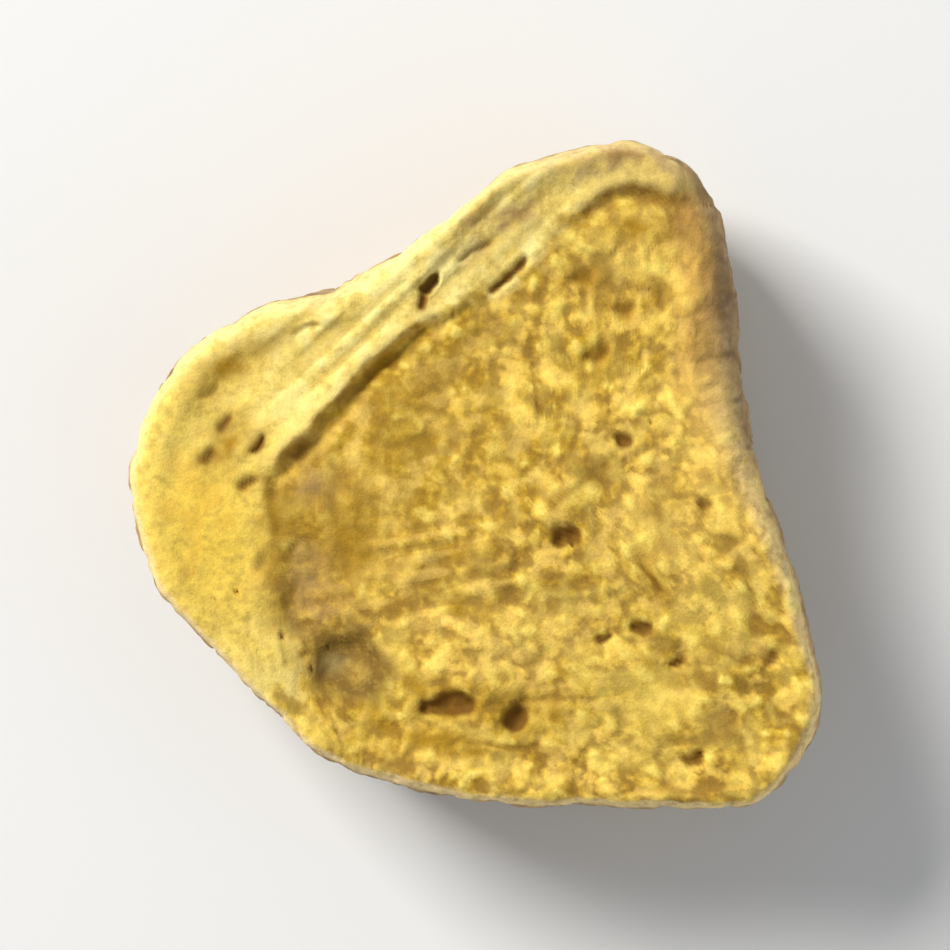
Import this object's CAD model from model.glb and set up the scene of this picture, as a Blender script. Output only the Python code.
"""Looks of one dried ginger root slice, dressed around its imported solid.

The slice is one closed surface worked out in numpy. A closed block of quads, square grids above and
below with rows of quads between their rims, is carried onto the slice by formulas in its places
across, away and up, and fine relief is then raised along the surface's own normals. Lengths in the
formulas are millimetres, with X to the right and Y away as seen from above, and finished meshes are
in metres.
"""

from itertools import product

import bpy
import numpy as np
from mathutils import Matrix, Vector


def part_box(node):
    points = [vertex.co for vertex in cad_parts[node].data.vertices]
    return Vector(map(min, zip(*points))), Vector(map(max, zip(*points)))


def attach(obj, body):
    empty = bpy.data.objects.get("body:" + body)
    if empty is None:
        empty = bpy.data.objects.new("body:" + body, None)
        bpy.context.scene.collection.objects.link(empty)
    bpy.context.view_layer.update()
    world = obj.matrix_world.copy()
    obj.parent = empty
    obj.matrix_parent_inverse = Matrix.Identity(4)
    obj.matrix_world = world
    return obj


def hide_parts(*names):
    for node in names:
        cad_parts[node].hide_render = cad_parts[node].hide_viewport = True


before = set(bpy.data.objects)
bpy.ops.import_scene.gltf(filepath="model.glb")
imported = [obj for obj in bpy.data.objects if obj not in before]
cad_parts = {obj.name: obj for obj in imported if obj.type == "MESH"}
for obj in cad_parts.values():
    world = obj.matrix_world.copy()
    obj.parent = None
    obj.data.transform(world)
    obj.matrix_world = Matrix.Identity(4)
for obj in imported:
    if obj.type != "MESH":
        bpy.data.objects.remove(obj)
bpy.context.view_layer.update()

MM = 0.001
NODE = "ginger_slice"
BODY = "root"

# Mesh density: quads along one side of each cut face, and rows of quads down the skin
FACE_QUADS = 176
SKIN_ROWS = 44

# How the square grid lies on a cut face: its turn, and how far it is rounded towards a disc
GRID_TURN = np.radians(70.0)
GRID_ROUNDING = 0.93

# Outline seen from above, counter-clockwise from the left tip
OUTLINE = (
    (-6.76, 0.30), (-6.58, -1.11), (-6.12, -2.32), (-5.03, -3.50), (-3.86, -4.68), (-2.88, -5.60),
    (-1.12, -6.06), (1.02, -6.36), (3.70, -6.48), (5.28, -6.42), (6.10, -5.80), (6.70, -4.55),
    (6.50, -3.10), (6.08, -1.11), (5.64, 0.50), (5.24, 2.44), (5.12, 3.90), (4.82, 5.14),
    (4.10, 6.00), (2.95, 6.46), (1.62, 6.26), (0.55, 5.98), (-0.14, 5.42), (-1.70, 4.26),
    (-2.75, 3.68), (-4.25, 3.26), (-5.95, 2.12),
)
CURVE_STEPS = 24

# Direction in degrees, how far the edge rounds off above and below, and the height of the widest
# line as a share of the thickness
EDGE = (
    (0.0, 0.85, 0.70, 0.46), (35.0, 1.10, 0.80, 0.38), (50.0, 0.80, 0.82, 0.46),
    (62.0, 0.44, 0.85, 0.54), (90.0, 0.44, 0.95, 0.58), (120.0, 0.56, 1.05, 0.56),
    (165.0, 0.66, 0.95, 0.56), (200.0, 0.32, 1.20, 0.80), (235.0, 0.28, 1.30, 0.84),
    (270.0, 0.28, 1.20, 0.84), (310.0, 0.32, 1.00, 0.76), (335.0, 0.50, 0.80, 0.60),
)
EDGE_ROUNDNESS = 2.5

# Upper cut face
THICKNESS = 4.60
TILT = (-0.020, 0.015)
DOME = {"centre": (2.2, -1.8), "reach": 4.2, "height": 0.34}
DIPS = (
    ({"centre": (-2.48, -3.62), "reach": (0.72, 0.64), "turn": 0.0}, 0.42),
    ({"centre": (-3.20, -2.45), "reach": (1.30, 0.42), "turn": 103.0}, 0.16),
)
PROUD_EDGE = {"height": 0.15, "width": 0.34}

# The crease between the outer band and the core: X, Y and the height of its lip
CREASE = (
    (-1.85, -5.10, 0.00), (-2.60, -4.62, 0.01), (-3.10, -3.86, 0.02), (-3.68, -2.69, 0.03),
    (-3.86, -1.53, 0.03), (-4.06, -0.62, 0.04), (-4.02, 0.00, 0.11), (-3.58, 0.55, 0.23),
    (-3.10, 1.02, 0.19), (-2.62, 1.55, 0.18), (-2.10, 2.16, 0.22), (-1.55, 2.60, 0.18),
    (-1.02, 3.02, 0.14), (-0.35, 3.28, 0.07), (0.40, 3.64, 0.03), (1.05, 4.16, 0.03),
    (1.50, 4.72, 0.03), (1.95, 5.14, 0.09), (2.42, 5.44, 0.15), (3.05, 5.58, 0.17),
    (3.70, 5.50, 0.16), (4.18, 5.12, 0.08), (4.42, 4.44, 0.00),
)
LIP = {"fade": 1.5, "ridge": 0.45, "ridge_width": 0.22, "drop": 0.24, "full": 0.3}
TROUGH = {"depth": 0.55, "width": 0.18}
BAND_FALL = {"rate": 0.100, "power": 1.5}
CREASE_WOBBLE = {"wavelength": 0.60, "amount": 0.07, "seed": 31}

# Pits, each a short slot: start X and Y, end X and Y, radius and depth
PITS = (
    (1.64, -1.24, 1.90, -1.18, 0.28, 0.27), (0.76, -4.76, 0.90, -4.50, 0.29, 0.24),
    (-0.92, -4.45, -0.12, -4.40, 0.29, 0.21), (1.28, 1.24, 1.42, 1.22, 0.20, 0.10),
    (2.76, 0.62, 2.98, 0.66, 0.23, 0.19), (2.38, -3.20, 2.60, -3.10, 0.23, 0.15),
    (3.16, -2.94, 3.34, -2.84, 0.21, 0.12), (3.80, -3.64, 4.00, -3.54, 0.22, 0.14),
    (5.66, -3.60, 5.78, -3.50, 0.20, 0.13), (4.10, -5.52, 4.34, -5.42, 0.25, 0.15),
    (3.20, -1.74, 3.56, -2.20, 0.19, 0.10), (4.32, -0.64, 4.56, -0.54, 0.20, 0.12),
    (0.78, -1.78, 0.84, -1.52, 0.18, 0.09), (2.22, 2.20, 2.42, 2.40, 0.30, 0.11),
    (1.92, 3.72, 2.10, 3.84, 0.27, 0.10), (2.72, 3.12, 2.92, 3.20, 0.27, 0.10),
    (-0.94, 3.60, -0.78, 3.80, 0.17, 0.22), (-1.04, 3.24, -0.98, 3.44, 0.13, 0.12),
    (0.26, 3.50, 0.92, 4.08, 0.16, 0.14), (-0.28, 4.16, 0.28, 4.50, 0.14, 0.09),
    (-4.86, 0.88, -4.70, 1.10, 0.16, 0.12), (-4.26, 0.48, -4.10, 0.72, 0.17, 0.15),
    (-5.18, 0.26, -5.04, 0.46, 0.14, 0.09), (-4.46, -0.20, -4.32, -0.12, 0.16, 0.11),
    (-5.24, 1.52, -5.00, 1.64, 0.14, 0.06), (-3.46, 2.66, -3.12, 2.92, 0.14, 0.06),
    (-4.14, -1.78, -4.06, -1.68, 0.14, 0.07),
)
PIT_WOBBLE = {"wavelength": 0.30, "amount": 0.08, "seed": 33}

# Lower cut face: it rests on a flat spot and lifts towards its rim, in full at so many radii of the
# spot. It reads its noise at a level of its own, to differ from the upper face
REST_SPOT = {"centre": (0.2, -0.7), "radius": 2.6}
LOWER_LIFT = {"height": 0.40, "unevenness": 0.22, "full_at": 2.2}
LOWER_LEVEL = -9.0
LOWER_RING = {"inside": 1.25, "width": 0.30, "depth": 0.26}
LOWER_PITS = {"wavelength": 0.80, "depth": 0.40, "from": 0.45, "seed": 13}

# Unevenness, from broad to fine: wavelength, amount and seed
FACE_SWELLS = ((2.60, 0.13, 11), (0.95, 0.085, 12))
SKIN_SWELL = (3.20, 0.12, 21)
SKIN_WRINKLES = {"wavelength": 1.05, "depth": 0.11, "width": 0.27, "stretch": 0.16, "seed": 22}

# Wrinkles keep this share of their depth at both rims and are full this share of the height inwards
RIM_WRINKLES = 0.25
WRINKLE_FADE = 0.3

# Where the skin's relief starts and is full, as a share of the way out from the middle
SKIN_REACH = (0.9, 1.0)

# Random values along each side of the noise lattice, after which it repeats
LATTICE = 32

# Fine relief of the flesh, along the surface's own normals. A grain is a dome around its spot, from
# its floor to 1 above its floor times the height, and all of it is sunk by the floor so that gaps
# lie low. Pores reach their depth at a share of their radius
GRAINS = (
    {"size": 0.40, "height": 0.040, "share": 0.6, "seed": 41},
    {"size": 0.20, "height": 0.026, "share": 0.4, "seed": 42},
)
GRAIN_DOME = (0.05, 0.85)
GRAIN_FLOOR = 0.4
GRAIN_FAINTEST = 0.35
GRAIN_WOBBLE = {"wavelength": 0.30, "amount": 0.09, "seed": 35}
BAND_GRAIN = 0.40
VEINS = {"wavelength": 0.50, "width": 0.20, "height": 0.020, "seed": 48}
STROKES = {"wavelength": 0.80, "width": 0.16, "depth": 0.040, "seed": 55}
STROKE_PATCHES = {"wavelength": 0.70, "cover": (-0.25, 0.20), "seed": 56}
SMOOTH_CORE = {"centre": (-1.90, 0.50), "reach": (2.60, 2.00), "turn": 50.0}
SMOOTHING = 0.62
PORES = {"size": 0.60, "share": 0.25, "depth": 0.10, "seed": 43}
PORE_RADIUS = (0.04, 0.09)
PORE_BOTTOM = 0.5
MEAL = (0.22, 0.014, 47)

# Fine relief of the skin. The levels are about what its cracks and flakes average to, and are taken
# off so that the skin keeps its place. Above its widest line the skin has a share of this relief,
# and the brown margin has cracks too
SKIN_WAVER = {"wavelength": 1.10, "amount": 0.28, "seed": 26}
SKIN_CRACKS = (
    {"wavelength": 0.95, "stretch": 0.22, "depth": 0.065, "width": 0.12, "seed": 45},
    {"wavelength": 0.42, "stretch": 0.30, "depth": 0.045, "width": 0.15, "seed": 46},
    {"wavelength": 0.20, "stretch": 0.50, "depth": 0.022, "width": 0.22, "seed": 49},
)
CRACK_LEVEL = 0.3
SKIN_FLAKES = {"wavelength": 1.50, "stretch": 0.60, "depth": 0.045, "seed": 28}
FLAKE_COVER = (0.12, 0.20)
FLAKE_EDGES = {"wavelength": 0.45, "amount": 0.35, "seed": 29}
FLAKE_LEVEL = 0.5
UPPER_SKIN = {"share": 0.4, "full": (0.9, 1.25)}
MARGIN_CRACKS = 0.7

# Streaks in the flesh: where they lie, their length and width, and their height
STREAKS = (
    ({"centre": (-0.95, -1.95), "reach": (1.35, 0.80), "turn": 10.0}, (1.10, 0.19), 0.042, 51),
    ({"centre": (-2.35, -0.40), "reach": (1.25, 0.50), "turn": 86.0}, (1.30, 0.20), 0.045, 52),
    ({"centre": (-2.95, 2.60), "reach": (2.60, 1.00), "turn": 42.0}, (2.40, 0.19), 0.050, 53),
    ({"centre": (0.60, 4.70), "reach": (1.70, 0.85), "turn": 43.0}, (1.70, 0.17), 0.050, 54),
)

# Marks along the crease: where they fade in from its start and out towards its end, which heights
# of lip count as wide, how soft the band's border is at a low and at a wide lip, and the stripes on
# the lip and at its foot
CREASE_START = (0.6, 3.0)
CREASE_END = (0.2, 1.4)
WIDE_LIP = (0.03, 0.22)
BORDER_SOFTNESS = (0.60, 0.18)
LIP_STRIPE = {"width": 0.11, "place": 0.08}
SEAM_STRIPE = {"width": 0.17, "place": -0.24}
SEAM_FAINTEST = 0.15
LOWER_BAND = (-0.3, 0.1)
PIT_FULL = 0.15

# Coloured places on the upper cut face
PATCH_WOBBLE = {"wavelength": 0.55, "amount": 0.22, "seed": 37}
HOLLOW_STAIN = {"centre": (-2.40, -3.68), "reach": (0.84, 0.64), "turn": -6.0}
GREY_SPOT = {"centre": (-2.76, -3.64), "reach": (0.32, 0.20), "turn": 12.0}
TAN_PATCHES = (
    {"centre": (-3.05, -2.30), "reach": (1.05, 0.62), "turn": 103.0},
    {"centre": (-3.26, -0.24), "reach": (0.50, 0.30), "turn": 95.0},
    {"centre": (2.75, 5.98), "reach": (1.80, 0.50), "turn": -4.0},
    {"centre": (0.55, 5.00), "reach": (1.10, 0.26), "turn": 40.0},
)
YELLOW_LOBE = {"centre": (-5.10, -1.10), "reach": (2.80, 1.90), "turn": 105.0}
SOLID_PATCH = {"centre": (3.43, -4.40), "reach": (0.62, 0.56), "turn": 0.0}
BROWN_STAINS = (
    {"centre": (-3.36, 0.46), "reach": (0.58, 0.14), "turn": 43.0},
    {"centre": (3.42, 5.32), "reach": (0.60, 0.13), "turn": -8.0},
    {"centre": (2.30, 5.14), "reach": (0.36, 0.09), "turn": 38.0},
    {"centre": (-0.99, 3.36), "reach": (0.26, 0.09), "turn": 80.0},
    {"centre": (-4.78, 1.00), "reach": (0.30, 0.17), "turn": 55.0},
    {"centre": (-4.17, 0.60), "reach": (0.30, 0.19), "turn": 60.0},
    {"centre": (-5.10, 0.36), "reach": (0.26, 0.16), "turn": 50.0},
    {"centre": (-4.39, -0.16), "reach": (0.26, 0.18), "turn": 30.0},
)
OCHRE_STAINS = (
    {"centre": (2.34, 2.31), "reach": (0.46, 0.36), "turn": 30.0},
    {"centre": (2.03, 3.79), "reach": (0.34, 0.26), "turn": 0.0},
    {"centre": (2.81, 3.17), "reach": (0.36, 0.26), "turn": 0.0},
    {"centre": (-0.50, -4.42), "reach": (1.00, 0.36), "turn": 4.0},
    {"centre": (0.83, -4.63), "reach": (0.50, 0.46), "turn": 0.0},
    {"centre": (-1.10, -4.10), "reach": (0.34, 0.22), "turn": -50.0},
    {"centre": (0.02, -5.30), "reach": (0.40, 0.15), "turn": 0.0},
    {"centre": (1.55, -4.60), "reach": (0.22, 0.34), "turn": 0.0},
    {"centre": (-2.28, -0.75), "reach": (0.55, 0.13), "turn": 88.0},
    {"centre": (3.45, -2.05), "reach": (0.45, 0.20), "turn": -52.0},
    {"centre": (-1.75, 2.18), "reach": (0.60, 0.13), "turn": 46.0},
    {"centre": (-4.72, 0.62), "reach": (0.62, 0.24), "turn": 55.0},
    {"centre": (-0.75, -5.12), "reach": (1.15, 0.30), "turn": -3.0},
    {"centre": (-1.75, -4.75), "reach": (0.50, 0.22), "turn": -40.0},
    {"centre": (-3.84, -2.05), "reach": (1.05, 0.24), "turn": 98.0},
    {"centre": (-3.90, -0.80), "reach": (0.55, 0.20), "turn": 92.0},
    {"centre": (-0.36, -1.47), "reach": (0.36, 0.10), "turn": 2.0},
    {"centre": (-0.30, -2.62), "reach": (0.24, 0.13), "turn": -20.0},
    {"centre": (-2.45, -1.40), "reach": (1.00, 0.70), "turn": 84.0},
    {"centre": (3.10, 4.72), "reach": (0.85, 0.24), "turn": -6.0},
    {"centre": (-4.75, 2.05), "reach": (0.95, 0.42), "turn": 34.0},
)
PALE_PATCHES = (
    {"centre": (4.45, 0.70), "reach": (2.80, 0.95), "turn": 101.0},
    {"centre": (3.05, 4.05), "reach": (1.20, 0.80), "turn": 0.0},
    {"centre": (0.95, -3.20), "reach": (1.60, 0.90), "turn": 8.0},
    {"centre": (3.55, -1.20), "reach": (1.10, 1.20), "turn": 0.0},
)

# Direction in degrees, where skin starts and fully covers, where the pale edge starts and is full,
# how pale it is, and how brown the margin is. A place below 0 is millimetres in from the cut face's
# rim. Above 0 it runs from that rim through 1 at the widest line to 2 at the lower rim
RIM_FINISH = (
    (0.0, 0.55, 0.84, -0.30, 0.60, 0.60, 0.15), (15.0, 0.35, 0.75, -0.35, 0.60, 0.45, 0.50),
    (30.0, 0.15, 0.70, -0.30, 0.60, 0.15, 1.00), (50.0, 0.20, 0.70, -0.10, 0.60, 0.10, 1.00),
    (58.0, 0.62, 0.90, 0.10, 0.60, 0.35, 0.25), (70.0, 0.80, 0.94, 0.10, 0.50, 0.50, 0.00),
    (150.0, 0.82, 0.95, 0.25, 0.75, 0.60, 0.00), (190.0, 0.82, 0.95, 0.30, 0.80, 0.90, 0.00),
    (205.0, 0.79, 0.92, 0.25, 0.60, 0.90, 0.00), (310.0, 0.79, 0.92, 0.25, 0.60, 0.90, 0.00),
    (335.0, 0.66, 0.90, -0.10, 0.60, 0.85, 0.00),
)
EDGE_END = (0.92, 1.02)
MARGIN_START = (-0.85, 0.2)
MARGIN_END = (1.0, 1.4)
SKIN_END = (1.90, 1.98)
SKIN_WANDER = {"wavelength": 0.50, "amount": 0.07, "seed": 24}


def smooth_step(low, high, value):
    """0 below low, 1 above high, and a smooth cubic rise between them."""
    share = np.clip((value - low) / (high - low), 0.0, 1.0)
    return share * share * (3.0 - 2.0 * share)


def blend(first, second, share):
    """First where share is 0, second where it is 1, and a straight mix between."""
    return first + (second - first) * share


def bell(value, width, place=0.0):
    """1 where the value is at the place, and falling off as a Gaussian of that width around it."""
    return np.exp(-(((value - place) / width) ** 2))


def lattice_noise(points, wavelength, seed):
    """Noise from -1 to 1: seeded random values on a cubic lattice, blended smoothly between."""
    values = np.random.default_rng(seed).uniform(-1.0, 1.0, (LATTICE, LATTICE, LATTICE))
    scaled = points / wavelength
    corner = np.floor(scaled).astype(int)
    share = scaled - corner
    share = share**3 * (share * (share * 6.0 - 15.0) + 10.0)
    total = np.zeros(len(points))
    for step in product((0, 1), repeat=3):
        weight = np.prod(np.where(step, share, 1.0 - share), axis=1)
        cell = (corner + step) % LATTICE
        total += weight * values[cell[:, 0], cell[:, 1], cell[:, 2]]
    return total


def scattered_spots(points, size, seed):
    """One seeded spot in each cube of a lattice: each place's distance to the nearest spot, as a
    share of the cube's size, and two random numbers that belong to that spot."""
    table = np.random.default_rng(seed).random((LATTICE, LATTICE, LATTICE, 5))
    scaled = points / size
    corner = np.floor(scaled).astype(int)
    nearest = np.full(len(points), np.inf)
    numbers = np.zeros((len(points), 2))
    for step in product((-1, 0, 1), repeat=3):
        cell = corner + step
        wrapped = cell % LATTICE
        spot = table[wrapped[:, 0], wrapped[:, 1], wrapped[:, 2]]
        gap = np.linalg.norm(cell + spot[:, :3] - scaled, axis=1)
        closer = gap < nearest
        nearest[closer] = gap[closer]
        numbers[closer] = spot[closer, 3:]
    return nearest, numbers


def swell(x, y, z, wavelength, amount, seed):
    """Broad unevenness in millimetres at the given places."""
    return amount * lattice_noise(np.column_stack((x, y, z)), wavelength, seed)


def curve_through(before, start, end, after):
    """Catmull-Rom spans: each cubic runs from start to end with a slope set by the neighbours."""
    t = (np.arange(CURVE_STEPS) / CURVE_STEPS)[:, None, None]
    spans = 0.5 * (
        2.0 * start
        + (end - before) * t
        + (2.0 * before - 5.0 * start + 4.0 * end - after) * t**2
        + (3.0 * start - before - 3.0 * end + after) * t**3
    )
    return spans.transpose(1, 0, 2).reshape(-1, start.shape[1])


def closed_curve(points):
    """A smooth ring through all the points."""
    ring = np.array(points)
    return curve_through(np.roll(ring, 1, 0), ring, np.roll(ring, -1, 0), np.roll(ring, -2, 0))


def open_curve(points):
    """A smooth line through all the points, ending on the last."""
    line = np.array(points)
    padded = np.vstack((2.0 * line[0] - line[1], line, 2.0 * line[-1] - line[-2]))
    return np.vstack((curve_through(padded[:-3], padded[1:-2], padded[2:-1], padded[3:]), line[-1]))


def with_length(line):
    """The line's points with the length run so far as a last column."""
    steps = np.linalg.norm(np.diff(line[:, :2], axis=0), axis=1)
    return np.column_stack((line, np.concatenate(((0.0,), np.cumsum(steps)))))


def outline_radius(angle):
    """Distance from the centre to the outline in each direction."""
    ring = closed_curve(OUTLINE)
    around = np.arctan2(ring[:, 1], ring[:, 0])
    return np.interp(angle, around, np.hypot(ring[:, 0], ring[:, 1]), period=2.0 * np.pi)


def edge_values(angle):
    """Rounding above, rounding below and the widest line's height share in each direction."""
    table = np.array(EDGE)
    degrees = np.degrees(angle)
    return [np.interp(degrees, table[:, 0], table[:, i], period=360.0) for i in (1, 2, 3)]


def beside_line(x, y, line):
    """Signed distance to a line of points, left side positive, and the nearest point's values."""
    nearest = np.full(len(x), np.inf)
    side = np.ones(len(x))
    carried = np.zeros((len(x), line.shape[1] - 2))
    for start, end in zip(line[:-1], line[1:]):
        run = end[:2] - start[:2]
        along = ((x - start[0]) * run[0] + (y - start[1]) * run[1]) / (run @ run)
        along = np.clip(along, 0.0, 1.0)
        off_x = x - start[0] - along * run[0]
        off_y = y - start[1] - along * run[1]
        gap = np.hypot(off_x, off_y)
        closer = gap < nearest
        nearest[closer] = gap[closer]
        side[closer] = np.sign(run[0] * off_y - run[1] * off_x)[closer]
        values = start[2:] + along[:, None] * (end[2:] - start[2:])
        carried[closer] = values[closer]
    return nearest * side, carried


def wandered(x, y, wavelength, amount, seed):
    """The same places shifted a little by noise, so that lines and rims there turn uneven."""
    level = np.zeros_like(x)
    return (
        x + swell(x, y, level, wavelength, amount, seed),
        y + swell(x, y, level, wavelength, amount, seed + 1),
    )


def crease_places(x, y):
    """Distance out past the crease, the height of its lip there, and the length run along it."""
    line = with_length(open_curve(CREASE))
    beside, carried = beside_line(*wandered(x, y, **CREASE_WOBBLE), line)
    return beside, carried[:, 0], carried[:, 1], line[-1, -1]


def band_relief(beside, lip):
    """The outer band: highest at the crease's lip, falling outwards, with a trough at its foot."""
    outward = np.maximum(beside, 0.0)
    broad = (1.0 - LIP["ridge"]) * np.exp(-outward / LIP["fade"])
    sharp = LIP["ridge"] * bell(outward, LIP["ridge_width"])
    raised = lip * (broad + sharp) * smooth_step(-LIP["drop"], 0.0, beside)
    trough = TROUGH["depth"] * lip * bell(beside, TROUGH["width"], -LIP["drop"])
    strength = smooth_step(0.0, LIP["full"], lip)
    return raised - trough - BAND_FALL["rate"] * strength * outward ** BAND_FALL["power"]


def pit_depth(x, y):
    """Pits in the cut face: smooth bowls around short slots."""
    at_x, at_y = wandered(x, y, **PIT_WOBBLE)
    sunk = np.zeros(len(x))
    for x0, y0, x1, y1, radius, depth in PITS:
        gap = np.abs(beside_line(at_x, at_y, np.array(((x0, y0), (x1, y1))))[0])
        sunk = np.maximum(sunk, depth * (1.0 - smooth_step(0.0, radius, gap)))
    return sunk


def oval(x, y, centre, reach, turn):
    """1 at the centre of an oval place and falling off around it, with its first reach along the
    turn in degrees; and the millimetres from the centre along and across that direction."""
    cos, sin = np.cos(np.radians(turn)), np.sin(np.radians(turn))
    dx, dy = x - centre[0], y - centre[1]
    along, across = dx * cos + dy * sin, dy * cos - dx * sin
    return np.exp(-((along / reach[0]) ** 2) - (across / reach[1]) ** 2), along, across


def upper_face(x, y, inside):
    """Height of the upper cut face, where inside is the distance in from the outline."""
    beside, lip, _, _ = crease_places(x, y)
    out = np.hypot(x - DOME["centre"][0], y - DOME["centre"][1])
    height = THICKNESS + TILT[0] * x + TILT[1] * y + DOME["height"] * bell(out, DOME["reach"])
    height += PROUD_EDGE["height"] * bell(inside, PROUD_EDGE["width"])
    height += band_relief(beside, lip) - pit_depth(x, y)
    for place, depth in DIPS:
        height -= depth * oval(x, y, **place)[0]
    for wavelength, amount, seed in FACE_SWELLS:
        height += swell(x, y, np.zeros_like(x), wavelength, amount, seed)
    return height


def lower_lift(x, y):
    """0 on the flat spot that the slice rests on, rising to 1 towards the rim."""
    out = np.hypot(x - REST_SPOT["centre"][0], y - REST_SPOT["centre"][1])
    return smooth_step(REST_SPOT["radius"], LOWER_LIFT["full_at"] * REST_SPOT["radius"], out)


def lower_face(x, y, inside):
    """Height of the lower cut face: flat on the rest spot, then lifting unevenly to the rim, with
    the crease round the core as a groove and with scattered pits."""
    level = np.full_like(x, LOWER_LEVEL)
    wavelength, _, seed = FACE_SWELLS[0]
    rise = LOWER_LIFT["height"] + swell(x, y, level, wavelength, LOWER_LIFT["unevenness"], seed)
    rise += LOWER_RING["depth"] * bell(inside, LOWER_RING["width"], LOWER_RING["inside"])
    spots = swell(x, y, level, LOWER_PITS["wavelength"], 1.0, LOWER_PITS["seed"])
    rise += LOWER_PITS["depth"] * smooth_step(LOWER_PITS["from"], 1.0, spots)
    return lower_lift(x, y) * np.maximum(rise, 0.0)


def skin_relief(x, y, z, share):
    """Skin, measured outwards: swells less the furrows that run down it, and the furrows alone."""
    places = np.column_stack((x, y, z * SKIN_WRINKLES["stretch"]))
    ridges = lattice_noise(places, SKIN_WRINKLES["wavelength"], SKIN_WRINKLES["seed"])
    from_rims = smooth_step(0.0, WRINKLE_FADE, share) * smooth_step(0.0, WRINKLE_FADE, 1.0 - share)
    depth = SKIN_WRINKLES["depth"] * blend(RIM_WRINKLES, 1.0, from_rims)
    sunk = depth * bell(ridges, SKIN_WRINKLES["width"])
    return swell(x, y, z, *SKIN_SWELL) - sunk, sunk


def bulge(share):
    """Rounded edge: 0 at the cut face's rim, 1 at the widest line, as a superellipse quarter."""
    rest = 1.0 - np.clip(share, 0.0, 1.0)
    return (1.0 - rest**EDGE_ROUNDNESS) ** (1.0 / EDGE_ROUNDNESS)


def rounded_square(across, away):
    """Carries a square of side 2 towards a disc, which it would meet at a rounding of 1."""
    a, b = GRID_ROUNDING * across, GRID_ROUNDING * away
    return a * np.sqrt(1.0 - b**2 / 2.0), b * np.sqrt(1.0 - a**2 / 2.0)


def on_disc(across, away):
    """The rounded square stretched to a disc: distance from the middle as a share of the rim's, and
    direction."""
    u, v = rounded_square(across, away)
    ring = np.maximum(np.maximum(np.abs(across), np.abs(away)), 1e-9)
    rim = np.maximum(np.hypot(*rounded_square(across / ring, away / ring)), 1e-9)
    return np.minimum(np.hypot(u, v) / rim, 1.0), np.arctan2(v, u) + GRID_TURN


def slice_form(across, away, share):
    """Carries a block onto the slice. Across and away run from -1 to 1 over a cut face, and share
    from 0 on the lower face to 1 on the upper. The square becomes a disc, the disc is stretched to
    the outline, and rows between the faces follow the rounded edge. Also gives what the finish
    needs: direction, distance in from the outline, depth of skin furrows and the way down the edge,
    which is 0 at the upper rim, 1 at the widest line and 2 at the lower rim."""
    ratio, angle = on_disc(across, away)
    cos, sin = np.cos(angle), np.sin(angle)
    widest = outline_radius(angle)
    above, below, waist = edge_values(angle)

    top_radius, low_radius = widest - above, widest - below
    inside_top, inside_low = (1.0 - ratio) * top_radius, (1.0 - ratio) * low_radius
    top = upper_face(ratio * top_radius * cos, ratio * top_radius * sin, inside_top)
    low = lower_face(ratio * low_radius * cos, ratio * low_radius * sin, inside_low)

    upper_half = share >= waist
    toward_waist = np.where(upper_half, (1.0 - share) / (1.0 - waist), share / waist)
    rim = np.where(upper_half, above, below)
    rounded = bulge(toward_waist)
    reach = widest - rim * (1.0 - rounded)
    z = low + (top - low) * share

    skin, sunk = skin_relief(reach * cos, reach * sin, z, share)
    radius = ratio * reach + smooth_step(*SKIN_REACH, ratio) * skin
    kept = {
        "angle": angle,
        "inside": np.where(share > 0.5, inside_top, inside_low),
        "sunk": sunk,
        "way": np.where(upper_half, rounded, 2.0 - toward_waist),
    }
    return np.column_stack((radius * cos, radius * sin, z)), kept


def closed_block():
    """A closed block of quads: its places across, away and up as a share, and each quad's corners.
    The rim runs counter-clockwise, so that every quad faces outwards."""
    line = np.linspace(-1.0, 1.0, FACE_QUADS + 1)
    across, away = (grid.ravel() for grid in np.meshgrid(line, line))
    upper = np.arange(len(across)).reshape(len(line), len(line))
    rim = np.concatenate((upper[0, :-1], upper[:-1, -1], upper[-1, :0:-1], upper[:0:-1, 0]))
    between = np.arange((SKIN_ROWS - 1) * len(rim)).reshape(SKIN_ROWS - 1, len(rim))
    rings = np.vstack((rim, 2 * len(across) + between, len(across) + rim))

    face = np.stack((upper[:-1, :-1], upper[:-1, 1:], upper[1:, 1:], upper[1:, :-1]))
    face = face.reshape(4, -1).T
    ahead = np.roll(rings, -1, axis=1)
    skin = np.stack((rings[:-1], rings[1:], ahead[1:], ahead[:-1])).reshape(4, -1).T
    quads = np.vstack((face, len(across) + face[:, ::-1], skin))

    down = 0.5 + 0.5 * np.cos(np.pi * np.arange(1, SKIN_ROWS) / SKIN_ROWS)
    share = np.concatenate((np.ones_like(across), np.zeros_like(across), np.repeat(down, len(rim))))
    across = np.concatenate((across, across, np.tile(across[rim], SKIN_ROWS - 1)))
    away = np.concatenate((away, away, np.tile(away[rim], SKIN_ROWS - 1)))
    return across, away, share, quads


def outward_normals(points, quads):
    """Unit normals: the cross product of each quad's diagonals, added up at its corners."""
    first, second, third, fourth = points[quads].transpose(1, 0, 2)
    facing = np.cross(third - first, fourth - second)
    total = np.zeros_like(points)
    for corner in quads.T:
        np.add.at(total, corner, facing)
    return total / (np.linalg.norm(total, axis=1, keepdims=True) + 1e-12)


def stained(x, y, stains):
    """The strongest of several oval places."""
    return np.max([oval(x, y, **stain)[0] for stain in stains], axis=0)


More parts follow.
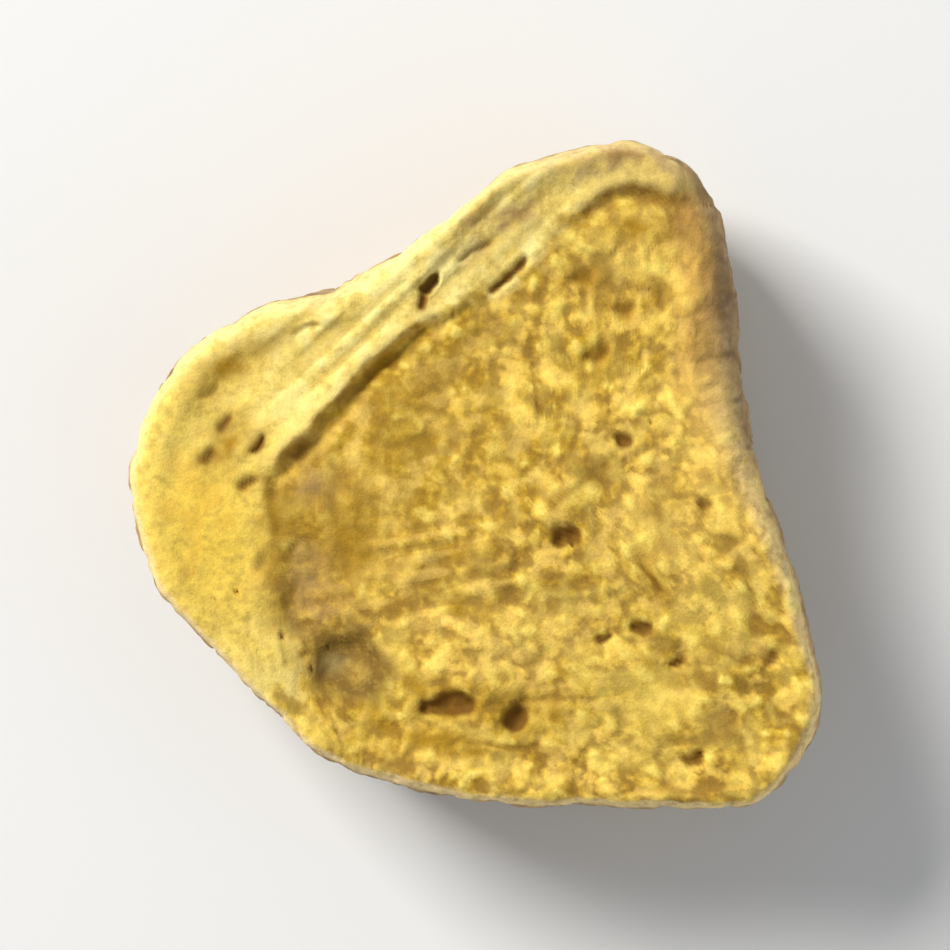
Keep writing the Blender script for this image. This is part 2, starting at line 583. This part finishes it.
def rim_marks(x, y, z, kept, side):
    """Skin, pale edge and brown margin, which follow RIM_FINISH round the rim, and skin furrows."""
    finish = np.array(RIM_FINISH)
    degrees = np.degrees(kept["angle"])
    skin_start, skin_full, edge_start, edge_full, pale, brown = (
        np.interp(degrees, finish[:, 0], finish[:, i], period=360.0) for i in range(1, 7)
    )
    way = kept["way"] + swell(x, y, z, **SKIN_WANDER) * (kept["way"] > 0.0)
    past_rim = way - kept["inside"]
    skin = side * smooth_step(skin_start, skin_full, way) * (1.0 - smooth_step(*SKIN_END, way))
    edge = pale * smooth_step(edge_start, edge_full, past_rim)
    margin = brown * smooth_step(*MARGIN_START, past_rim)
    return {
        "skin": skin,
        "edge": edge * (1.0 - smooth_step(*EDGE_END, way)),
        "margin": margin * (1.0 - smooth_step(*MARGIN_END, way)),
        "furrow": skin * np.clip(kept["sunk"] / SKIN_WRINKLES["depth"], 0.0, 1.0),
    }


def crease_marks(x, y, inside, upper):
    """The outer band of both faces, and stripes along the crease's lip and foot."""
    beside, lip, along, length = crease_places(x, y)
    ends = smooth_step(*CREASE_START, along) * smooth_step(*CREASE_END, length - along)
    wide = smooth_step(*WIDE_LIP, lip)
    soft = blend(*BORDER_SOFTNESS, wide)
    upper_band = smooth_step(-soft, soft, beside) * ends
    inner, outer = (LOWER_RING["inside"] + step for step in LOWER_BAND)
    lower_band = 1.0 - smooth_step(inner, outer, inside)
    return {
        "band": blend(lower_band, upper_band, upper),
        "lip": upper * wide * bell(beside, **LIP_STRIPE),
        "seam": upper * blend(SEAM_FAINTEST, 1.0, wide) * ends * bell(beside, **SEAM_STRIPE),
    }


def face_marks(points, kept, share):
    """What the finish follows, each from 0 to 1 at every place on the slice."""
    x, y, z = points.T
    upper = (share > 0.5).astype(float)
    softly, sharply = wandered(x, y, **PATCH_WOBBLE), wandered(x, y, **PIT_WOBBLE)
    return {
        **rim_marks(x, y, z, kept, (share > 0.0) & (share < 1.0)),
        **crease_marks(x, y, kept["inside"], upper),
        "pit": upper * np.clip(pit_depth(x, y) / PIT_FULL, 0.0, 1.0),
        "hollow": upper * stained(*softly, (HOLLOW_STAIN,)),
        "grey": upper * stained(x, y, (GREY_SPOT,)),
        "tan": upper * stained(*softly, TAN_PATCHES),
        "lobe": upper * stained(x, y, (YELLOW_LOBE,)),
        "solid": upper * stained(x, y, (SOLID_PATCH,)),
        "brown": upper * stained(*sharply, BROWN_STAINS),
        "ochre": upper * stained(*sharply, OCHRE_STAINS),
        "pale": upper * stained(*softly, PALE_PATCHES),
    }


def streak_relief(x, y):
    """Streaks from -1 to 1, and their height: noise stretched along each place's own direction."""
    level, raised = np.zeros_like(x), np.zeros_like(x)
    for place, (length, width), height, seed in STREAKS:
        share, along, across = oval(x, y, **place)
        runs = np.column_stack((along / length, across / width, np.zeros_like(x)))
        streak = np.sqrt(share) * lattice_noise(runs, 1.0, seed)
        level += streak
        raised += height * streak
    return np.clip(level, -1.0, 1.0), raised


def wavered(points, axes, wavelength, amount, seed):
    """The same places shifted a little by noise along the first so many axes."""
    moved = points.copy()
    for axis in range(axes):
        moved[:, axis] += swell(*points.T, wavelength, amount, seed + axis)
    return moved


def skin_cracks(points, skin):
    """Wavering cracks that run down the skin, each set around the zero line of a noise stretched
    that way, and patches where the cork has flaked off. Gives their height, and how far each place
    is into a crack and into a bare patch, from 0 to 1."""
    places = wavered(points, 2, **SKIN_WAVER)
    height, deepest = np.zeros(len(points)), np.zeros(len(points))
    for kind in SKIN_CRACKS:
        drawn = places * (1.0, 1.0, kind["stretch"])
        crack = bell(lattice_noise(drawn, kind["wavelength"], kind["seed"]), kind["width"])
        height -= kind["depth"] * skin * (crack - CRACK_LEVEL)
        deepest = np.maximum(deepest, crack * kind["depth"] / SKIN_CRACKS[0]["depth"])
    drawn = places * (1.0, 1.0, SKIN_FLAKES["stretch"])
    cover = lattice_noise(drawn, SKIN_FLAKES["wavelength"], SKIN_FLAKES["seed"])
    bare = smooth_step(*FLAKE_COVER, cover + swell(*places.T, **FLAKE_EDGES))
    height -= SKIN_FLAKES["depth"] * skin * (bare - FLAKE_LEVEL)
    return height, deepest, bare


def mealy_flesh(points, grainy):
    """Grains as domes around scattered spots, veins raised along the zero lines of a noise, and
    strokes sunk along those of another where a third is high. Gives their height, and how far each
    place is into a grain, a vein and a stroke, from 0 to 1."""
    places = wavered(points, 3, **GRAIN_WOBBLE)
    height, grain = np.zeros(len(points)), np.zeros(len(points))
    for kind in GRAINS:
        gap, numbers = scattered_spots(places, kind["size"], kind["seed"])
        dome = 1.0 - smooth_step(*GRAIN_DOME, gap)
        height += kind["height"] * grainy * (dome * (GRAIN_FLOOR + numbers[:, 0]) - GRAIN_FLOOR)
        grain += kind["share"] * dome * blend(GRAIN_FAINTEST, 1.0, numbers[:, 0])
    vein = bell(lattice_noise(places, VEINS["wavelength"], VEINS["seed"]), VEINS["width"])
    stroke = bell(lattice_noise(places, STROKES["wavelength"], STROKES["seed"]), STROKES["width"])
    patch = lattice_noise(points, STROKE_PATCHES["wavelength"], STROKE_PATCHES["seed"])
    stroke *= smooth_step(*STROKE_PATCHES["cover"], patch)
    height += grainy * (VEINS["height"] * vein - STROKES["depth"] * stroke)
    return height, grain, vein, stroke


def pores(points, flesh):
    """Small round pores at some of the scattered spots, from 0 to 1."""
    gap, numbers = scattered_spots(points, PORES["size"], PORES["seed"])
    radius = blend(*PORE_RADIUS, numbers[:, 1])
    pore = 1.0 - smooth_step(PORE_BOTTOM * radius, radius, gap * PORES["size"])
    return pore * flesh * (numbers[:, 0] < PORES["share"])


def fine_relief(points, marks, upper, way):
    """Height along the normal in millimetres: mealy grains, veins, strokes and pores on the cut
    faces, streaks in the upper one, and cracks and flakes in the skin, which are weaker above the
    widest line. Adds the marks that follow from these."""
    flesh = 1.0 - marks["skin"]
    rough = 1.0 - SMOOTHING * upper * stained(*points.T[:2], (SMOOTH_CORE,))
    rough *= 1.0 - SMOOTHING * marks["solid"]
    grainy = flesh * blend(1.0, BAND_GRAIN, marks["band"]) * rough
    height, grain, vein, stroke = mealy_flesh(points, grainy)

    pore = pores(points, flesh) * (1.0 - marks["lip"]) * (1.0 - marks["seam"])
    streak, raised = streak_relief(points[:, 0], points[:, 1])
    height += flesh * upper * raised - PORES["depth"] * pore

    dry = np.maximum(marks["skin"], MARGIN_CRACKS * marks["margin"])
    dry = dry * blend(UPPER_SKIN["share"], 1.0, smooth_step(*UPPER_SKIN["full"], way))
    cracked, crack, bare = skin_cracks(points, dry)
    height += cracked + swell(*points.T, *MEAL)
    marks.update({
        "grain": grain,
        "vein": vein,
        "stroke": stroke,
        "rough": rough,
        "pore": pore,
        "streak": 0.5 + 0.5 * upper * streak,
        "crack": crack,
        "bare": bare,
    })
    return height


def make_mesh(name, points, faces, marks=None):
    """A mesh object in metres from places in millimetres, with its marks as attributes."""
    mesh = bpy.data.meshes.new(name)
    mesh.from_pydata((points * MM).tolist(), [], faces)
    for mark, values in (marks or {}).items():
        layer = mesh.attributes.new(mark, "FLOAT", "POINT")
        layer.data.foreach_set("value", np.ascontiguousarray(values, dtype=np.float32))
    mesh.shade_smooth()
    piece = bpy.data.objects.new(name, mesh)
    bpy.context.scene.collection.objects.link(piece)
    return piece


def ginger_slice():
    """The whole slice: its form, then the fine relief along its normals, centred on the solid."""
    across, away, share, quads = closed_block()
    points, kept = slice_form(across, away, share)
    marks = face_marks(points, kept, share)
    resting = (share == 0.0) * (1.0 - lower_lift(points[:, 0], points[:, 1]))
    height = fine_relief(points, marks, share > 0.5, kept["way"]) * (1.0 - resting)
    points = points + outward_normals(points, quads) * height[:, None]
    points[:, 2] = np.maximum(points[:, 2], 0.0)

    low, high = points.min(axis=0), points.max(axis=0)
    cad_low, cad_high = (np.array(corner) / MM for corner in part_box(NODE))
    shift = (cad_low + cad_high - low - high) / 2.0
    shift[2] = cad_low[2]
    return make_mesh("dried_ginger_slice", points + shift, quads.tolist(), marks)


class Wire:
    """A socket of a material's node tree. An expression on wires and numbers adds Math nodes."""

    def __init__(self, recipe, socket):
        self.recipe = recipe
        self.socket = socket

    def joined(self, operation, first, second):
        return self.recipe.node("ShaderNodeMath", {"operation": operation}, {0: first, 1: second})

    def __add__(self, other):
        return self.joined("ADD", self, other)

    def __radd__(self, other):
        return self.joined("ADD", other, self)

    def __sub__(self, other):
        return self.joined("SUBTRACT", self, other)

    def __rsub__(self, other):
        return self.joined("SUBTRACT", other, self)

    def __mul__(self, other):
        return self.joined("MULTIPLY", self, other)

    def __rmul__(self, other):
        return self.joined("MULTIPLY", other, self)


class Recipe:
    """A new material whose nodes are added one by one."""

    def __init__(self, name):
        self.material = bpy.data.materials.new(name)
        self.material.use_nodes = True
        self.tree = self.material.node_tree
        self.shader = self.tree.nodes["Principled BSDF"]

    def node(self, kind, settings=None, sockets=None, output=0):
        """Adds a node: its settings first, then the value or link of each named socket."""
        made = self.tree.nodes.new(kind)
        for name, value in (settings or {}).items():
            setattr(made, name, value)
        for name, value in (sockets or {}).items():
            self.feed(made.inputs[name], value)
        return Wire(self, made.outputs[output])

    def feed(self, socket, value):
        """Links a wire to a socket, or sets a plain value on it."""
        if isinstance(value, Wire):
            self.tree.links.new(value.socket, socket)
        else:
            socket.default_value = value

    def finish(self, **inputs):
        """Sets or links the material shader's own inputs, with _ for the spaces in their names."""
        for name, value in inputs.items():
            self.feed(self.shader.inputs[name.replace("_", " ")], value)

    def mark(self, name):
        """One of the slice's marks."""
        settings = {"attribute_type": "GEOMETRY", "attribute_name": name}
        return self.node("ShaderNodeAttribute", settings, output="Fac")

    def places(self):
        """The piece's own coordinates in metres."""
        return self.node("ShaderNodeTexCoord", output="Object")

    def noise(self, places, per_mm, detail, roughness):
        """Noise from 0 to 1 with so many waves to the millimetre."""
        sockets = {"Vector": places, "Scale": per_mm / MM, "Detail": detail, "Roughness": roughness}
        return self.node("ShaderNodeTexNoise", {}, sockets, output="Fac")

    def stretched(self, places, by):
        """Places times a factor along each axis."""
        return self.node("ShaderNodeVectorMath", {"operation": "MULTIPLY"}, {0: places, 1: by})

    def between(self, low, high, value):
        """0 below low and 1 above high, with a smooth rise."""
        sockets = {"Value": value, "From Min": low, "From Max": high}
        return self.node("ShaderNodeMapRange", {"interpolation_type": "SMOOTHSTEP"}, sockets)

    def mixed(self, share, first, second, blend_type="MIX"):
        """Two colours mixed by a share from 0 to 1."""
        settings = {"data_type": "RGBA", "blend_type": blend_type, "clamp_factor": True}
        return self.node("ShaderNodeMix", settings, {0: share, 6: first, 7: second}, output=2)


def paint(red, green, blue):
    """A colour given in screen values from 0 to 255, as the linear colour that nodes take."""
    screen = np.array((red, green, blue)) / 255.0
    linear = np.where(screen > 0.04045, ((screen + 0.055) / 1.055) ** 2.4, screen / 12.92)
    return (*linear.tolist(), 1.0)


# Colours of the finish
CORE_GOLD = paint(244, 200, 82)
CORE_OLIVE = paint(206, 166, 46)
CORE_DEEP = paint(180, 136, 18)
CORE_PEACH = paint(255, 214, 108)
GRAIN_PALE = paint(255, 225, 106)
GAP_BROWN = paint(150, 113, 36)
BAND_PALE = paint(240, 214, 116)
BAND_CREAM = paint(250, 232, 146)
BAND_OLIVE = paint(200, 168, 76)
LOBE_YELLOW = paint(246, 208, 74)
LOBE_OCHRE = paint(224, 176, 60)
LIP_CREAM = paint(242, 212, 118)
MARGIN_BROWN = paint(188, 144, 70)
OCHRE = paint(172, 130, 16)
STAIN_BROWN = paint(132, 92, 22)
PIT_BROWN = paint(120, 80, 8)
HOLLOW_BROWN = paint(128, 98, 34)
SPOT_GREY = paint(160, 140, 84)
PATCH_TAN = paint(168, 132, 74)
EDGE_CREAM = paint(253, 224, 160)
SKIN_BUFF = paint(206, 176, 124)
SKIN_BROWN = paint(170, 136, 88)
SKIN_BARE = paint(206, 166, 92)
SKIN_CRACK = paint(112, 80, 44)
SKIN_SILVER = paint(224, 204, 164)


# Noise in the finish: waves to the millimetre, detail and roughness
CLOUD = (0.8, 3.0, 0.5)
BLOTCH = (2.2, 2.0, 0.5)
MOTTLE = (6.0, 3.0, 0.6)
DUST = (22.0, 2.0, 0.6)
STRAND = (3.0, 3.0, 0.6)
STRAND_STRETCH = (1.0, 1.0, 0.35)

# Dusty light and dark, and how matt and how rough to the touch the slice is
SHADE = {"darkest": 0.84, "range": 0.32}
MATT = {"least": 0.74, "range": 0.20}
SPECULAR = 0.35
BUMP = {"strength": 0.55, "depth": 0.05}


# In the next four functions each line lays one colour over those before it. Its share is a mark, or
# a noise between the level where the colour starts and the one where it is full, times a strength.
def core_colour(recipe, cloud, blotch, mottle):
    """The core: clouds of gold and olive, deeper where it is smooth, with pale grains, brown gaps
    between them, strokes and streaks."""
    mark, mixed, between = recipe.mark, recipe.mixed, recipe.between
    grain = mark("grain") * 0.7 + mottle * 0.3
    rough = mark("rough")
    core = mixed(between(0.38, 0.62, cloud), CORE_OLIVE, CORE_GOLD)
    core = mixed((1.0 - rough) * 0.9, core, CORE_DEEP)
    core = mixed(between(0.50, 0.36, blotch) * 0.7, core, OCHRE)
    core = mixed(between(0.40, 0.22, grain) * rough * 0.85, core, GAP_BROWN)
    core = mixed(between(0.50, 0.64, blotch) * 0.5, core, CORE_PEACH)
    core = mixed(mark("pale") * 0.35, core, CORE_PEACH)
    core = mixed(mark("vein") * rough * 0.35, core, GRAIN_PALE)
    core = mixed(between(0.36, 0.62, grain) * rough, core, GRAIN_PALE)
    core = mixed(mark("stroke") * (0.40 + 0.35 * rough), core, GAP_BROWN)
    core = mixed(between(0.46, 0.26, mark("streak")) * 0.45, core, GAP_BROWN)
    core = mixed(between(0.54, 0.74, mark("streak")) * 0.35, core, CORE_PEACH)
    return mixed(mark("solid") * 0.6, core, GRAIN_PALE)


def band_colour(recipe, cloud, blotch, mottle):
    """The outer band: pale and cream, with olive streaks and blotches and a yellow lobe."""
    mark, mixed, between = recipe.mark, recipe.mixed, recipe.between
    ripe = between(0.48, 0.60, cloud * 0.3 + blotch * 0.7)
    band = mixed(between(0.40, 0.64, blotch), BAND_PALE, BAND_CREAM)
    band = mixed(between(0.50, 0.15, mark("streak")) * 0.6, band, BAND_OLIVE)
    band = mixed(mark("lobe") * 0.95, band, LOBE_YELLOW)
    band = mixed(mark("lobe") * ripe * 0.6, band, LOBE_OCHRE)
    return mixed(between(0.52, 0.34, blotch * 0.5 + mottle * 0.5) * 0.5, band, BAND_OLIVE)


def stained_colour(recipe, flesh, blotch, mottle):
    """The flesh with its stains, the hollow, the crease's lip and foot, the pits and the rim."""
    mark, mixed, between = recipe.mark, recipe.mixed, recipe.between
    hollow = between(0.10, 0.60, mark("hollow")) * (1.0 - 0.3 * between(0.75, 0.98, mark("hollow")))
    flesh = mixed(mark("ochre") * (0.4 + 0.6 * between(0.30, 0.60, blotch)), flesh, OCHRE)
    flesh = mixed(mark("tan") * (0.4 + 0.6 * between(0.40, 0.60, blotch)), flesh, PATCH_TAN)
    flesh = mixed(hollow * (0.7 + 0.3 * between(0.35, 0.55, mottle)), flesh, HOLLOW_BROWN)
    flesh = mixed(mark("grey") * 0.8, flesh, SPOT_GREY)
    flesh = mixed(mark("seam") * 0.3, flesh, OCHRE)
    flesh = mixed(mark("lip") * 0.6, flesh, LIP_CREAM)
    flesh = mixed(mark("margin") * (0.6 + 0.4 * between(0.35, 0.60, mottle)), flesh, MARGIN_BROWN)
    flesh = mixed(mark("brown") * 0.8, flesh, STAIN_BROWN)
    flesh = mixed(between(0.05, 0.95, mark("pit")) * 0.95, flesh, PIT_BROWN)
    flesh = mixed(mark("pore") * 0.6, flesh, PIT_BROWN)
    flesh = mixed(mark("edge") * (0.5 + 0.5 * between(0.30, 0.55, mottle)), flesh, EDGE_CREAM)
    return mixed(mark("crack") * mark("margin") * 0.4, flesh, SKIN_CRACK)


def skin_colour(recipe, cloud, strand):
    """The skin: brown and buff strands that run down it, silvery in places, with bare patches and
    dark furrows and cracks."""
    mark, mixed, between = recipe.mark, recipe.mixed, recipe.between
    skin = mixed(between(0.36, 0.64, strand * 0.6 + cloud * 0.4), SKIN_BROWN, SKIN_BUFF)
    skin = mixed(between(0.54, 0.72, strand) * 0.45, skin, SKIN_SILVER)
    skin = mixed(mark("bare") * 0.6, skin, SKIN_BARE)
    skin = mixed(mark("furrow") * 0.3, skin, SKIN_CRACK)
    return mixed(mark("crack") * 0.7, skin, SKIN_CRACK)


def ginger_material():
    """Mealy golden core, paler band, brown pits and buff skin, all dry, dusty and matt."""
    recipe = Recipe("dried_ginger")
    mark, mixed, between = recipe.mark, recipe.mixed, recipe.between
    places = recipe.places()
    cloud, blotch, mottle, dust = (
        recipe.noise(places, *kind) for kind in (CLOUD, BLOTCH, MOTTLE, DUST)
    )
    strand = recipe.noise(recipe.stretched(places, STRAND_STRETCH), *STRAND)

    core = core_colour(recipe, cloud, blotch, mottle)
    band = band_colour(recipe, cloud, blotch, mottle)
    flesh = mixed(between(0.25, 0.75, mark("band") + (blotch - 0.5) * 0.8), core, band)
    flesh = stained_colour(recipe, flesh, blotch, mottle)
    colour = mixed(mark("skin"), flesh, skin_colour(recipe, cloud, strand))

    shade = SHADE["darkest"] + SHADE["range"] * between(0.25, 0.75, dust * 0.5 + mottle * 0.5)
    shade = recipe.node("ShaderNodeCombineColor", {}, {0: shade, 1: shade, 2: shade})
    fine = mottle * 0.6 + dust * 0.4
    touch = {"Strength": BUMP["strength"], "Distance": BUMP["depth"] * MM, "Height": fine}
    recipe.finish(
        Base_Color=mixed(1.0, colour, shade, "MULTIPLY"),
        Roughness=MATT["least"] + MATT["range"] * mottle,
        Normal=recipe.node("ShaderNodeBump", {}, touch),
        Specular_IOR_Level=SPECULAR,
    )
    return recipe.material


# Studio, in metres
FLOOR_SIZE = 4.0
FLOOR_DROP = 0.004 * MM
FLOOR_COLOUR = (0.86, 0.86, 0.85, 1.0)
FLOOR_ROUGHNESS = 0.9
FRAME_WIDTH = 18.2 * MM
KEY_LIGHT = {
    "direction": (-0.62, 0.55, 0.66), "size": 0.12, "watts": 1.02, "colour": (1.0, 0.98, 0.95),
}
FILL_LIGHT = {
    "direction": (0.75, -0.35, 0.60), "size": 0.35, "watts": 0.16, "colour": (0.95, 0.97, 1.0),
}
LIGHT_DISTANCE = 0.30
WORLD_COLOUR = (0.80, 0.82, 0.85, 1.0)
WORLD_STRENGTH = 0.36

# Camera: focal length and sensor width as Blender counts them, and its near limit in metres
CAMERA_LENS = 150.0
SENSOR = 36.0
CLIP_START = 0.001


def studio_floor():
    """A wide pale floor just below the slice's flat spot."""
    half = FLOOR_SIZE / 2.0
    around = ((-half, -half), (half, -half), (half, half), (-half, half))
    corners = np.array([(x, y, -FLOOR_DROP) for x, y in around])
    floor = make_mesh("studio_floor", corners / MM, [(0, 1, 2, 3)])
    recipe = Recipe("studio_floor")
    recipe.finish(Base_Color=FLOOR_COLOUR, Roughness=FLOOR_ROUGHNESS)
    floor.data.materials.append(recipe.material)
    return floor


def area_light(name, direction, size, watts, colour, target):
    """A square soft light at the set distance, facing the slice."""
    from_slice = np.array(direction) / np.linalg.norm(direction)
    light = bpy.data.lights.new(name, "AREA")
    light.size = size
    light.energy = watts
    light.color = colour
    lamp = bpy.data.objects.new(name, light)
    lamp.location = target + from_slice * LIGHT_DISTANCE
    lamp.rotation_euler = Vector(from_slice).to_track_quat("Z", "Y").to_euler()
    bpy.context.scene.collection.objects.link(lamp)


def camera_above(middle, top):
    """A camera that looks straight down, wide enough for the slice with room around it."""
    lens = bpy.data.cameras.new("camera")
    lens.lens = CAMERA_LENS
    lens.sensor_width = SENSOR
    lens.clip_start = CLIP_START
    camera = bpy.data.objects.new("camera", lens)
    away = FRAME_WIDTH * CAMERA_LENS / SENSOR
    camera.location = (middle[0], middle[1], top + away)
    bpy.context.scene.collection.objects.link(camera)
    bpy.context.scene.camera = camera


def soft_world():
    """Even pale light from all round."""
    world = bpy.data.worlds.new("soft_light")
    world.use_nodes = True
    background = world.node_tree.nodes["Background"]
    background.inputs["Color"].default_value = WORLD_COLOUR
    background.inputs["Strength"].default_value = WORLD_STRENGTH
    bpy.context.scene.world = world


low, high = (np.array(corner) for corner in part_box(NODE))
middle = (low + high) / 2.0
ginger = ginger_slice()
ginger.data.materials.append(ginger_material())
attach(ginger, BODY)
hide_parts(NODE)

studio_floor()
area_light("key_light", target=middle, **KEY_LIGHT)
area_light("fill_light", target=middle, **FILL_LIGHT)
soft_world()
camera_above(middle, high[2])
bpy.context.scene.view_settings.view_transform = "Standard"
